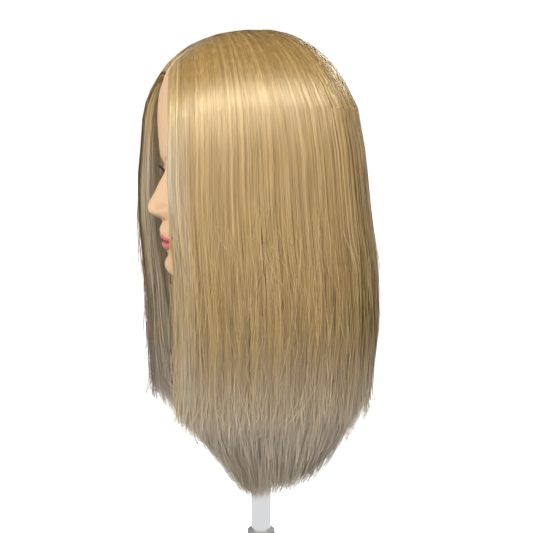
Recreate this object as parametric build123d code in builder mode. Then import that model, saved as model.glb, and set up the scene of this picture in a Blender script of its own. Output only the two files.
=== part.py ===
from build123d import *
import os
from math import cos, pi, radians, sin

os.makedirs("parts", exist_ok=True)

# Millimetres, +Z up. The face looks along -Y and the head's left side is +X.
# The origin is on the post's axis, in the clamp's upper jaw face, where it rests on a table top.

# Driving dimensions
skin_thickness = 3.5
neck_base_z = 253.0  # the head stands on the swivel flange at this height
skull_top_z = 574.0
hair_top_z = 588.0
hair_bottom_z = 120.0
panel_gap = 0.8  # between neighbouring hair panels
parting_width = 1.2
post_radius = 10.0
post_wall = 1.5
tilt_height = 38.0  # the tilt bolt's axis above the table top
jaw_opening = 52.0  # between the jaw rubber and the pad rubber, fully open
screw_radius = 6.0
run_gap = 0.06  # radial clearance of a part that turns or slides in a bore

# The head's outline at each height: front, back, half width, front taper
head_levels = [
    (253, -57, 66, 61, 0.0),
    (264, -50, 61, 56, 0.0),
    (284, -46, 58, 52, 0.0),
    (312, -45, 58, 51, 0.0),
    (330, -57, 59, 53, 0.05),
    (344, -86, 63, 57, 0.24),
    (358, -97, 67, 61, 0.28),
    (374, -98, 72, 64, 0.24),
    (394, -101, 77, 67, 0.18),
    (418, -97, 82, 69, 0.14),
    (445, -96, 85, 71, 0.12),
    (472, -103, 87, 72.5, 0.08),
    (500, -104, 86, 73, 0.05),
    (526, -96, 81, 70, 0.02),
    (548, -79, 68, 60, 0.0),
    (564, -52, 47, 42, 0.0),
    (skull_top_z, -17, 16, 15, 0.0),
]
# The bridge, tip and foot of the nose, as front, back and half width
nose_levels = [
    (450, -100, -80, 5.5),
    (436, -103, -80, 6.5),
    (420, -112, -80, 8.5),
    (411, -117, -80, 13),
    (404, -114, -80, 14),
    (399, -103, -80, 11),
]
# The hair's outer surface, as front, back and half width
hair_levels = [
    (hair_bottom_z, -20, 32, 22),
    (134, -27, 41, 29),
    (158, -43, 54, 42),
    (182, -70, 66, 56),
    (206, -94, 87, 72),
    (230, -108, 101, 81),
    (262, -112, 111, 86),
    (302, -114, 115, 88),
    (350, -117, 115, 88),
    (398, -119, 109, 87),
    (446, -120, 104, 86),
    (494, -119, 97, 84),
    (518, -114, 90, 81),
    (542, -101, 79, 73),
    (566, -77, 58, 54),
    (580, -48, 33, 32),
    (hair_top_z, -18, 12, 12),
]
# The space inside the hair, for the skull, the neck and the post
hollow_levels = [
    (hair_bottom_z - 4, -13, 20, 13),
    (134, -16, 29, 17),
    (158, -31, 43, 30),
    (182, -56, 55, 44),
    (206, -80, 74, 60),
    (230, -94, 88, 69),
    (262, -99, 99, 75),
    (302, -102, 104, 78),
    (350, -106, 104, 79),
    (398, -110, 100, 79),
    (446, -111, 96, 78),
    (494, -110, 92, 76),
    (518, -104.5, 87, 74),
    (542, -90, 75, 66.5),
    (562, -62, 54, 49),
    (577, -20, 19, 18),
]
# Half width of the open front between the two curtains of hair, going down from the hairline
curtain_edges = [(3, 522), (24, 504), (39, 478), (46, 445), (47, 350), (42, 290), (30, 210), (17, 110)]


def outline(z, front, back, half_width, taper=0.0, squareness=2.0, inset=0.0):
    """A closed smooth face at height z, symmetric left to right and narrower at the front by taper."""
    points = []
    steps = 16
    for step in range(steps):
        turn = 2 * pi * step / steps
        across, along = sin(turn), cos(turn)
        x = abs(across) ** (2 / squareness) * (half_width - inset) * (1 if across > 0 else -1)
        y = abs(along) ** (2 / squareness) * ((back - front) / 2 - inset) * (-1 if along > 0 else 1)
        frontness = (1 + along) / 2
        points.append((x * (1 - taper * frontness**2), (front + back) / 2 + y))
    with BuildSketch(Plane.XY.offset(z)) as section:
        with BuildLine():
            Spline(*points, periodic=True)
        make_face()
    return section.sketch.face()


def head_form(inset):
    """The head's solid, drawn in by inset at its sides and top."""
    with BuildPart() as form:
        sections = []
        for z, front, back, half_width, taper in head_levels:
            level = z - inset if z == skull_top_z else z
            sections.append(outline(level, front, back, half_width, taper, 2.2, inset))
        loft(sections=sections)
    return form.part


def hair_form(levels):
    with BuildPart() as form:
        loft(sections=[outline(z, front, back, half, 0, 2.6) for z, front, back, half in levels])
    return form.part


def save(piece, label):
    piece.part.label = label
    export_step(piece.part, f"parts/{label}.step")


# Head

head_outside = head_form(0)
head_inside = head_form(skin_thickness)
ear_y, ear_z, ear_reach = 8, 428, 76  # how far out the flat ears stand

with BuildPart() as head_skin:
    add(head_outside)
    # Nose
    loft(sections=[outline(z, front, back, half, 0.25) for z, front, back, half in nose_levels])
    # Ears, flat against the head and leaning back
    for side in (1, -1):
        with BuildSketch(Plane.YZ.offset(side * ear_reach)):
            with Locations(Location((ear_y, ear_z), -12)):
                Ellipse(14, 29)
        extrude(amount=-side * 12, taper=8)
    add(head_inside, mode=Mode.SUBTRACT)
save(head_skin, "head_skin")

# Neck base: a plate that closes the neck, a socket tube through it and four screws

plate_thickness = 4.0
plate_top_z = neck_base_z + plate_thickness
socket_radius, socket_bore, socket_depth = 15.0, 11.8, 77.0
socket_flange_radius, socket_flange = 26.0, 3.0
base_screw_circle, base_screw_radius, base_screw_length = 42.0, 2.1, 18.0

head_filling = head_form(skin_thickness + 0.3)

with BuildPart() as base_plate:
    add(head_filling)
    split(bisect_by=Plane.XY.offset(plate_top_z), keep=Keep.BOTTOM)
    with BuildSketch(Plane.XY.offset(neck_base_z)):
        Circle(socket_radius + 0.1)
    extrude(amount=plate_thickness, mode=Mode.SUBTRACT)
    with Locations(Location((0, 0, neck_base_z), (180, 0, 0))):
        with PolarLocations(base_screw_circle, 4, start_angle=45):
            CounterSinkHole(base_screw_radius + 0.15, 2 * base_screw_radius + 0.15, plate_thickness)
save(base_plate, "base_plate")

with BuildPart() as base_screw:
    with BuildSketch(Plane.XZ):
        with BuildLine():
            Polyline(
                (0, neck_base_z + 0.2),
                (2 * base_screw_radius, neck_base_z + 0.2),
                (base_screw_radius, neck_base_z + 0.2 + base_screw_radius),
                (base_screw_radius, neck_base_z + base_screw_length - 2),
                (0, neck_base_z + base_screw_length),
                close=True,
            )
        make_face()
    revolve(axis=Axis.Z)

with BuildPart() as base_screws:
    with PolarLocations(base_screw_circle, 4, start_angle=45):
        add(base_screw.part)
    # Cross recesses
    with BuildSketch(Plane.XY.offset(neck_base_z)):
        with PolarLocations(base_screw_circle, 4, start_angle=45):
            Rectangle(4.4, 1)
            Rectangle(1, 4.4)
    extrude(amount=1.4, mode=Mode.SUBTRACT)
save(base_screws, "base_screws")

with BuildPart() as neck_socket:
    with BuildSketch(Plane.XY.offset(neck_base_z)):
        Circle(socket_radius)
    extrude(amount=socket_depth + 3)
    with BuildSketch(Plane.XY.offset(plate_top_z)):
        Circle(socket_flange_radius)
    extrude(amount=socket_flange)
    with BuildSketch(Plane.XY.offset(neck_base_z)):
        Circle(socket_bore)
    extrude(amount=socket_depth, mode=Mode.SUBTRACT)
save(neck_socket, "neck_socket")

with BuildPart() as foam_core:
    add(head_filling)
    split(bisect_by=Plane.XY.offset(plate_top_z), keep=Keep.TOP)
    with BuildSketch(Plane.XY.offset(plate_top_z)):
        Circle(socket_flange_radius + 0.2)
    extrude(amount=socket_flange + 0.1, mode=Mode.SUBTRACT)
    with BuildSketch(Plane.XY.offset(plate_top_z)):
        Circle(socket_radius + 0.1)
        with PolarLocations(base_screw_circle, 4, start_angle=45):
            Circle(base_screw_radius + 0.1)
    extrude(amount=base_screw_length, mode=Mode.SUBTRACT)
    with BuildSketch(Plane.XY.offset(plate_top_z)):
        Circle(socket_radius + 0.1)
    extrude(amount=socket_depth, mode=Mode.SUBTRACT)
save(foam_core, "foam_core")

# Eyelashes: a thin curved strip in front of each eye

lash_z, lash_across, lash_radius = 446, 31, 17

with BuildPart() as left_eyelashes:
    with BuildSketch(Plane.XY.offset(lash_z)):
        with Locations((lash_across, -88)):
            Circle(lash_radius)
            Circle(lash_radius - 7, mode=Mode.SUBTRACT)
        with Locations((lash_across, -56)):
            Rectangle(60, 60, mode=Mode.SUBTRACT)
    extrude(amount=1.2)
    add(head_outside, mode=Mode.SUBTRACT)
save(left_eyelashes, "left_eyelashes")

with BuildPart() as right_eyelashes:
    add(mirror(left_eyelashes.part, about=Plane.YZ))
save(right_eyelashes, "right_eyelashes")

# Hair: six panels rooted around the skull, and an underlayer at the nape

with BuildPart() as hair_shell:
    add(hair_form(hair_levels))
    add(hair_form(hollow_levels), mode=Mode.SUBTRACT)
    # The open front, an arch that closes at the hairline
    with BuildSketch(Plane.XZ.offset(30)):
        with BuildLine():
            right_edge = [(-x, z) for x, z in reversed(curtain_edges)]
            Spline(*curtain_edges)
            Spline(*right_edge)
            Line(right_edge[-1], curtain_edges[0])
            Line(curtain_edges[-1], right_edge[0])
        make_face()
    extrude(amount=120, mode=Mode.SUBTRACT)
    # The parting, from the hairline back to the crown
    with BuildSketch(Plane.XY.offset(curtain_edges[2][1])):
        with Locations((0, -70)):
            Rectangle(parting_width, 130)
    extrude(amount=150, mode=Mode.SUBTRACT)


def hair_panel(start_angle, end_angle, label):
    """The part of the hair between two angles, which are measured from the face towards the left ear."""
    reach = 400
    with BuildPart() as panel:
        add(hair_shell.part)
        with BuildSketch(Plane.XY.offset(hair_bottom_z - 10)) as wedge:
            with BuildLine():
                corners = [(reach * sin(radians(a)), -reach * cos(radians(a))) for a in (start_angle, end_angle)]
                Polyline((0, 0), *corners, close=True)
            make_face()
            offset(amount=-panel_gap / 2, kind=Kind.INTERSECTION, mode=Mode.REPLACE)
        extrude(amount=hair_top_z - hair_bottom_z + 20, mode=Mode.INTERSECT)
    save(panel, f"hair_left_{label}")
    with BuildPart() as twin:
        add(mirror(panel.part, about=Plane.YZ))
    save(twin, f"hair_right_{label}")


hair_panel(0, 58, "front")
hair_panel(58, 118, "side")
hair_panel(118, 180, "back")

# Height, inner and outer half width and depth, and the line behind which the underlayer lies
nape_levels = [
    (180, (32, 42), (40, 50), 24),
    (250, (66, 74), (73, 83), 34),
    (300, (66, 76), (73, 86), 38),
    (352, (64, 72), (70, 80), 40),
]
with BuildPart() as hair_nape:
    for z, inner, outer, front_line in nape_levels:
        with BuildSketch(Plane.XY.offset(z)):
            Ellipse(*outer)
            Ellipse(*inner, mode=Mode.SUBTRACT)
            with Locations((0, front_line)):
                Rectangle(200, 200, align=(Align.CENTER, Align.MAX), mode=Mode.SUBTRACT)
    loft(ruled=True)
save(hair_nape, "hair_nape")

# Swivel: a spigot with a flange, which turns on the stud at the top of the post

disc_z = 248.0  # top of the post's plug
disc_thickness = 1.0
flange_radius, flange_z = 22.0, disc_z + disc_thickness
spigot_radius, spigot_top_z = 11.0, 327.0
stud_radius, stud_top_z = 6.0, 300.0
recess_radius = 8.6
ring_radius, ring_heights = 0.9, (275.0, 311.0)
ring_centre = 10.7

with BuildPart() as swivel_spigot:
    with BuildSketch(Plane.XZ):
        with BuildLine():
            Polyline(
                (stud_radius + run_gap, flange_z),
                (flange_radius - 1, flange_z),
                (flange_radius, flange_z + 1),
                (flange_radius, neck_base_z - 0.6),
                (flange_radius - 0.6, neck_base_z),
                (spigot_radius, neck_base_z),
                (spigot_radius, spigot_top_z - 5),
                (spigot_radius - 1.2, spigot_top_z),
                (recess_radius, spigot_top_z),
                (recess_radius, stud_top_z - 0.2),
                (stud_radius + run_gap, stud_top_z - 0.2),
                close=True,
            )
        make_face()
        for height in ring_heights:
            with Locations((spigot_radius, height)):
                Rectangle(2 * (spigot_radius - ring_centre + ring_radius), 2 * ring_radius + 0.4, mode=Mode.SUBTRACT)
    revolve(axis=Axis.Z)
save(swivel_spigot, "swivel_spigot")

with BuildPart() as grip_rings:
    for height in ring_heights:
        with Locations((0, 0, height)):
            Torus(ring_centre, ring_radius)
save(grip_rings, "grip_rings")

# Post

knuckle_half, knuckle_radius = 6.7, 14.0
cup_radius, cup_bottom_z, cup_top_z = 14.0, 56.0, 80.0
tube_bottom_z, tube_top_z = 62.0, 245.0
bolt_radius = 4.0

with BuildPart() as friction_disc:
    with BuildSketch(Plane.XY.offset(disc_z)):
        Circle(18)
        Circle(stud_radius + 0.3, mode=Mode.SUBTRACT)
    extrude(amount=disc_thickness - 0.05)
save(friction_disc, "friction_disc")

with BuildPart() as top_plug:
    with BuildSketch(Plane.XZ):
        with BuildLine():
            bore = post_radius - post_wall
            Polyline(
                (0, tube_top_z - 30),
                (bore - 1, tube_top_z - 30),
                (bore, tube_top_z - 29),
                (bore, tube_top_z),
                (18, tube_top_z),
                (19, tube_top_z + 1),
                (19, disc_z),
                (stud_radius, disc_z),
                (stud_radius, stud_top_z),
                (2.5, stud_top_z),
                (2.5, stud_top_z - 18),
                (0, stud_top_z - 20),
                close=True,
            )
        make_face()
    revolve(axis=Axis.Z)
save(top_plug, "top_plug")

with BuildPart() as spigot_washer:
    with BuildSketch(Plane.XY.offset(stud_top_z)):
        Circle(8)
        Circle(2.7, mode=Mode.SUBTRACT)
    extrude(amount=1.2)
save(spigot_washer, "spigot_washer")

with BuildPart() as spigot_screw:
    with BuildSketch(Plane.XY.offset(stud_top_z + 1.2)):
        Circle(4.6)
    extrude(amount=3.4)
    fillet(spigot_screw.edges().group_by(Axis.Z)[-1], 1.2)
    with BuildSketch(Plane.XY.offset(stud_top_z - 14)):
        Circle(2.5)
    extrude(amount=15.2)
    with BuildSketch(Plane.XY.offset(stud_top_z + 2.6)):
        RegularPolygon(2.0, 6)
    extrude(amount=3, mode=Mode.SUBTRACT)
save(spigot_screw, "spigot_screw")

with BuildPart() as post_tube:
    with BuildSketch(Plane.XY.offset(tube_bottom_z)):
        Circle(post_radius)
        Circle(post_radius - post_wall, mode=Mode.SUBTRACT)
    extrude(amount=tube_top_z - tube_bottom_z)
save(post_tube, "post_tube")

set_screw_z, set_screw_angles = 71.0, (45, 135)

with BuildPart() as post_knuckle:
    with BuildSketch(Plane.YZ):
        with Locations((0, tilt_height)):
            Circle(knuckle_radius)
        with Locations((0, (tilt_height + cup_bottom_z) / 2)):
            Rectangle(2 * knuckle_radius - 1, cup_bottom_z - tilt_height)
    extrude(amount=knuckle_half, both=True)
    with BuildSketch(Plane.XY.offset(cup_bottom_z)):
        Circle(cup_radius)
    extrude(amount=cup_top_z - cup_bottom_z)
    chamfer(post_knuckle.edges().group_by(Axis.Z)[-1], 1)
    with BuildSketch(Plane.XY.offset(tube_bottom_z)):
        Circle(post_radius)
    extrude(amount=cup_top_z - tube_bottom_z, mode=Mode.SUBTRACT)
    with BuildSketch(Plane.YZ):
        with Locations((0, tilt_height)):
            Circle(bolt_radius + run_gap)
    extrude(amount=knuckle_half, both=True, mode=Mode.SUBTRACT)
    for angle in set_screw_angles:
        with BuildSketch(Plane(origin=(0, 0, set_screw_z), z_dir=(cos(radians(angle)), sin(radians(angle)), 0))):
            Circle(2.5)
        extrude(amount=cup_radius + 1, mode=Mode.SUBTRACT)
save(post_knuckle, "post_knuckle")

with BuildPart() as post_set_screws:
    for angle in set_screw_angles:
        outward = (cos(radians(angle)), sin(radians(angle)), 0)
        seat = Plane(origin=(0, 0, set_screw_z), z_dir=outward).offset(post_radius)
        with BuildSketch(seat):
            Circle(2.5)
        extrude(amount=3.6)
        with BuildSketch(seat.offset(2)):
            RegularPolygon(1.3, 6)
        extrude(amount=3, mode=Mode.SUBTRACT)
    add(Cylinder(post_radius, 40, mode=Mode.PRIVATE).moved(Location((0, 0, set_screw_z))), mode=Mode.SUBTRACT)
save(post_set_screws, "post_set_screws")

# Tilt joint: bolt, washers, knob

ear_inner, ear_outer = 8.0, 15.0  # the clevis ears' faces, from the middle plane
washer_thickness = 1.1
outer_washer = 1.5
bolt_head_x = -(ear_outer + outer_washer)
bolt_end_x = 30.0
knob_x = ear_outer + outer_washer + 0.1
nut_length, nut_flats_radius = 9.0, 7.0

with BuildPart() as tilt_bolt:
    with BuildSketch(Plane.YZ.offset(bolt_head_x)):
        with Locations((0, tilt_height)):
            Circle(bolt_radius)
    extrude(amount=bolt_end_x - bolt_head_x)
    chamfer(tilt_bolt.edges().group_by(Axis.X)[-1], 0.8)
    with BuildSketch(Plane.YZ.offset(bolt_head_x)):
        with Locations((0, tilt_height)):
            RegularPolygon(6.5, 6, major_radius=False)
    extrude(amount=-5.3)
save(tilt_bolt, "tilt_bolt")

with BuildPart() as tilt_washers:
    for near, thickness, radius in (
        (knuckle_half + 0.1, washer_thickness, 11.0),
        (ear_outer, outer_washer, 8.5),
    ):
        for side in (1, -1):
            with BuildSketch(Plane.YZ.offset(side * near)):
                with Locations((0, tilt_height)):
                    Circle(radius)
                    Circle(bolt_radius + 0.1, mode=Mode.SUBTRACT)
            extrude(amount=side * thickness)
save(tilt_washers, "tilt_washers")

with BuildPart() as knob_nut:
    with BuildSketch(Plane.YZ.offset(knob_x)):
        with Locations((0, tilt_height)):
            RegularPolygon(nut_flats_radius, 6, major_radius=False)
            Circle(bolt_radius + run_gap, mode=Mode.SUBTRACT)
    extrude(amount=nut_length)
save(knob_nut, "knob_nut")

knob_face_x, knob_length, lobe_circle = knob_x + 4, 13.0, 15.0
with BuildPart() as tilt_knob:
    with BuildSketch(Plane.YZ.offset(knob_x)):
        with Locations((0, tilt_height)):
            Circle(10.5)
    extrude(amount=4)
    with BuildSketch(Plane.YZ.offset(knob_face_x)):
        with Locations((0, tilt_height)):
            Circle(lobe_circle)
            with PolarLocations(lobe_circle, 6):
                Circle(5.5)
    extrude(amount=knob_length)
    fillet(tilt_knob.edges().group_by(Axis.X)[-1], 2)
    with BuildSketch(Plane.YZ.offset(knob_x)):
        with Locations((0, tilt_height)):
            RegularPolygon(nut_flats_radius, 6, major_radius=False)
    extrude(amount=nut_length, mode=Mode.SUBTRACT)
    with BuildSketch(Plane.YZ.offset(knob_x)):
        with Locations((0, tilt_height)):
            Circle(bolt_radius + 0.3)
    extrude(amount=bolt_end_x - knob_x + 0.5, mode=Mode.SUBTRACT)
save(tilt_knob, "tilt_knob")

# Clamp frame: a cast C with clevis ears on its upper arm and a boss for the screw

frame_half = 15.0
rubber_thickness = 2.5
arm_top_z = 18.5
pad_top_z = -jaw_opening
lower_arm_top_z, lower_arm_bottom_z = -78.0, -94.0
spine_front, spine_back = 24.0, 40.0
jaw_front = -28.0
bush_radius = 11.0

with BuildPart() as clamp_frame:
    with BuildSketch(Plane.YZ) as c_profile:
        with BuildLine():
            Polyline(
                (jaw_front, arm_top_z),
                (spine_back, arm_top_z),
                (spine_back, lower_arm_bottom_z),
                (-bush_radius - 5, lower_arm_bottom_z),
                (-bush_radius - 5, lower_arm_top_z),
                (spine_front, lower_arm_top_z),
                (spine_front, rubber_thickness),
                (jaw_front, rubber_thickness),
                close=True,
            )
        make_face()
        fillet(c_profile.vertices().filter_by_position(Axis.X, spine_back - 1, spine_back + 1), 9)
        fillet(c_profile.vertices().filter_by_position(Axis.X, spine_front - 1, spine_front + 1), 5)
    extrude(amount=frame_half, both=True)
    fillet(clamp_frame.edges().filter_by(Axis.Z).group_by(Axis.Y)[0], 10)
    # Casting pockets in the spine's sides
    for side in (1, -1):
        with BuildSketch(Plane.YZ.offset(side * frame_half)):
            with Locations(((spine_front + spine_back) / 2, (lower_arm_top_z + rubber_thickness) / 2)):
                RectangleRounded(8, 68, 3.5)
        extrude(amount=-side * 9, mode=Mode.SUBTRACT)
    # Boss and hole for the thread bush
    with BuildSketch(Plane.XY.offset(lower_arm_bottom_z - 2)):
        Circle(bush_radius + 5)
    extrude(amount=lower_arm_top_z - lower_arm_bottom_z + 4)
    with BuildSketch(Plane.XY.offset(lower_arm_bottom_z - 2)):
        Circle(bush_radius)
    extrude(amount=lower_arm_top_z - lower_arm_bottom_z + 4, mode=Mode.SUBTRACT)
    # Clevis ears
    for side in (1, -1):
        with BuildSketch(Plane.YZ.offset(side * ear_inner)):
            with Locations((0, tilt_height)):
                Circle(ear_outer)
            with Locations((0, (arm_top_z + tilt_height) / 2 - 0.5)):
                Rectangle(2 * ear_outer, tilt_height - arm_top_z + 1)
            with Locations((0, tilt_height)):
                Circle(bolt_radius + 0.05, mode=Mode.SUBTRACT)
        extrude(amount=side * (ear_outer - ear_inner))
save(clamp_frame, "clamp_frame")

with BuildPart() as jaw_rubber:
    with BuildSketch(Plane.XY):
        with Locations((0, -6)):
            RectangleRounded(28, 40, 6)
    extrude(amount=rubber_thickness)
save(jaw_rubber, "jaw_rubber")

with BuildPart() as thread_bush:
    with BuildSketch(Plane.XY.offset(lower_arm_bottom_z - 2)):
        Circle(bush_radius)
    extrude(amount=lower_arm_top_z - lower_arm_bottom_z + 4)
    with BuildSketch(Plane.XY.offset(lower_arm_bottom_z - 2)):
        Circle(bush_radius + 3)
    extrude(amount=-2)
    with BuildSketch(Plane.XY.offset(lower_arm_bottom_z - 4)):
        Circle(screw_radius + run_gap)
    extrude(amount=lower_arm_top_z - lower_arm_bottom_z + 6, mode=Mode.SUBTRACT)
save(thread_bush, "thread_bush")

# Clamp screw with its swivel pad, and the T-bar that turns it

pad_radius, pad_rubber_thickness = 16.0, 3.0
pad_plate_top = pad_top_z - pad_rubber_thickness
pad_plate_bottom = pad_plate_top - 7.5
neck_radius, nose_radius = 4.0, 5.0
screw_tip_z = pad_plate_top - 1
hub_top_z, hub_bottom_z, hub_radius = -160.0, -176.0, 8.5
bar_z, bar_radius, bar_half, cap_length = -168.0, 4.0, 55.0, 11.0

with BuildPart() as pad_rubber:
    with BuildSketch(Plane.XY.offset(pad_plate_top)):
        Circle(pad_radius)
    extrude(amount=pad_rubber_thickness)
    chamfer(pad_rubber.edges().group_by(Axis.Z)[-1], 0.8)
save(pad_rubber, "pad_rubber")

with BuildPart() as swivel_pad:
    with BuildSketch(Plane.XZ):
        with BuildLine():
            Polyline(
                (0, pad_plate_top),
                (pad_radius, pad_plate_top),
                (pad_radius, pad_plate_top - 3),
                (9, pad_plate_top - 4),
                (8.5, pad_plate_bottom),
                (neck_radius + run_gap, pad_plate_bottom),
                (neck_radius + run_gap, pad_plate_bottom + 2),
                (nose_radius + run_gap, pad_plate_bottom + 2),
                (nose_radius + run_gap, screw_tip_z + 0.1),
                (0, screw_tip_z + 0.1),
                close=True,
            )
        make_face()
    revolve(axis=Axis.Z)
save(swivel_pad, "swivel_pad")

with BuildPart() as clamp_screw:
    with BuildSketch(Plane.XZ):
        with BuildLine():
            Polyline(
                (0, screw_tip_z),
                (nose_radius, screw_tip_z),
                (nose_radius, pad_plate_bottom + 2.1),
                (neck_radius, pad_plate_bottom + 2.1),
                (neck_radius, pad_plate_bottom - 1),
                (screw_radius - 1, pad_plate_bottom - 1),
                (screw_radius, pad_plate_bottom - 2),
                (screw_radius, hub_top_z),
                (hub_radius - 1, hub_top_z),
                (hub_radius, hub_top_z - 1),
                (hub_radius, hub_bottom_z + 1),
                (hub_radius - 1, hub_bottom_z),
                (0, hub_bottom_z),
                close=True,
            )
        make_face()
    revolve(axis=Axis.Z)
    with BuildSketch(Plane.YZ):
        with Locations((0, bar_z)):
            Circle(bar_radius + run_gap)
    extrude(amount=hub_radius + 1, both=True, mode=Mode.SUBTRACT)
save(clamp_screw, "clamp_screw")

with BuildPart() as t_bar:
    with BuildSketch(Plane.YZ):
        with Locations((0, bar_z)):
            Circle(bar_radius)
    extrude(amount=bar_half, both=True)
    chamfer(t_bar.edges().filter_by(GeomType.CIRCLE), 0.6)
save(t_bar, "t_bar")

with BuildPart() as t_bar_caps:
    for side in (1, -1):
        with BuildSketch(Plane.YZ.offset(side * (bar_half - cap_length + 2))):
            with Locations((0, bar_z)):
                Circle(6.5)
        extrude(amount=side * cap_length)
    fillet(t_bar_caps.edges().filter_by(GeomType.CIRCLE), 2.5)
    with BuildSketch(Plane.YZ):
        with Locations((0, bar_z)):
            Circle(bar_radius)
    extrude(amount=bar_half, both=True, mode=Mode.SUBTRACT)
save(t_bar_caps, "t_bar_caps")
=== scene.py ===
import bpy
import bmesh
import math
import numpy as np
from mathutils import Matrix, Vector


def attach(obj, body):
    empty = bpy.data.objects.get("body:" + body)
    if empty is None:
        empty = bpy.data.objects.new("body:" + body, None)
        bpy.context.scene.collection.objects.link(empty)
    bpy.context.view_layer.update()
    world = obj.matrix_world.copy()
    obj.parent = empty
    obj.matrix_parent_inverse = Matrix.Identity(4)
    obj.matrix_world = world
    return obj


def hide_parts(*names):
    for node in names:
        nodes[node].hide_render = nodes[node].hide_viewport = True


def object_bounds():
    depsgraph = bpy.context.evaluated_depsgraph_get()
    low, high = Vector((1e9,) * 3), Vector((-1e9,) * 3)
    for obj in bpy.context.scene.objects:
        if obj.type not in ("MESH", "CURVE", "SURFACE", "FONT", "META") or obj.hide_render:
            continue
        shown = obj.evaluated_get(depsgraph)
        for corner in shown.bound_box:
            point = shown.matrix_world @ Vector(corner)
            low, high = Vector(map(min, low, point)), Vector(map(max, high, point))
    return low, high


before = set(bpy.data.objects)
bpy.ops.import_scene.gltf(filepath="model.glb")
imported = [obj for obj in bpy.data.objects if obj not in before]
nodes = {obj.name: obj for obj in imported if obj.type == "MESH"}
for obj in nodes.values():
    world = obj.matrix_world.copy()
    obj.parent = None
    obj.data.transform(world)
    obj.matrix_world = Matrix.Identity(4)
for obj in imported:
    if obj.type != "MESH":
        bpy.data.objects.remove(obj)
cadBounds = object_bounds()
mm = 0.001  # the shapes below are worked out in millimetres


# Camera, lights and floor

studio = {
    "azimuth": 76, "elevation": 8, "distance": 1.35, "aimAcross": 0.0055, "aimHeight": 0.3515,
    "viewWidth": 0.533, "floorDrop": 0.02, "floorRadius": 9,
    # strength of the room's light below, in and above its ring, and where the ring starts and ends
    "roomLow": 0.78, "roomRing": 0.7, "roomHigh": 0.2, "ringStops": (0.2, 0.36, 0.5, 0.64),
}


def direction(azimuth, elevation):  # from the object towards the camera or a lamp
    a, e = math.radians(azimuth), math.radians(elevation)
    return Vector((math.sin(a) * math.cos(e), -math.cos(a) * math.cos(e), math.sin(e)))


def placeFacing(name, data, place, back):  # a camera or lamp, with the way back from what it faces
    thing = bpy.data.objects.new(name, data)
    bpy.context.collection.objects.link(thing)
    thing.location = place
    thing.rotation_mode = "QUATERNION"
    thing.rotation_quaternion = (-back).to_track_quat("-Z", "Y")
    return thing


def makeCamera():
    a = math.radians(studio["azimuth"])
    aim = Vector((math.cos(a) * studio["aimAcross"], math.sin(a) * studio["aimAcross"], studio["aimHeight"]))
    back = direction(studio["azimuth"], studio["elevation"])
    lens = bpy.data.cameras.new("camera")
    lens.lens = lens.sensor_width * studio["distance"] / studio["viewWidth"]
    bpy.context.scene.camera = placeFacing("camera", lens, aim + back * studio["distance"], back)


def softLamp(name, azimuth, elevation, distance, wide, high, power, colour=(1, 1, 1)):
    data = bpy.data.lights.new(name, "AREA")
    data.shape, data.size, data.size_y, data.energy, data.color = "RECTANGLE", wide, high, power, colour
    back = direction(azimuth, elevation)
    placeFacing(name, data, Vector((0, 0, 0.35)) + back * distance, back)


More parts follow.
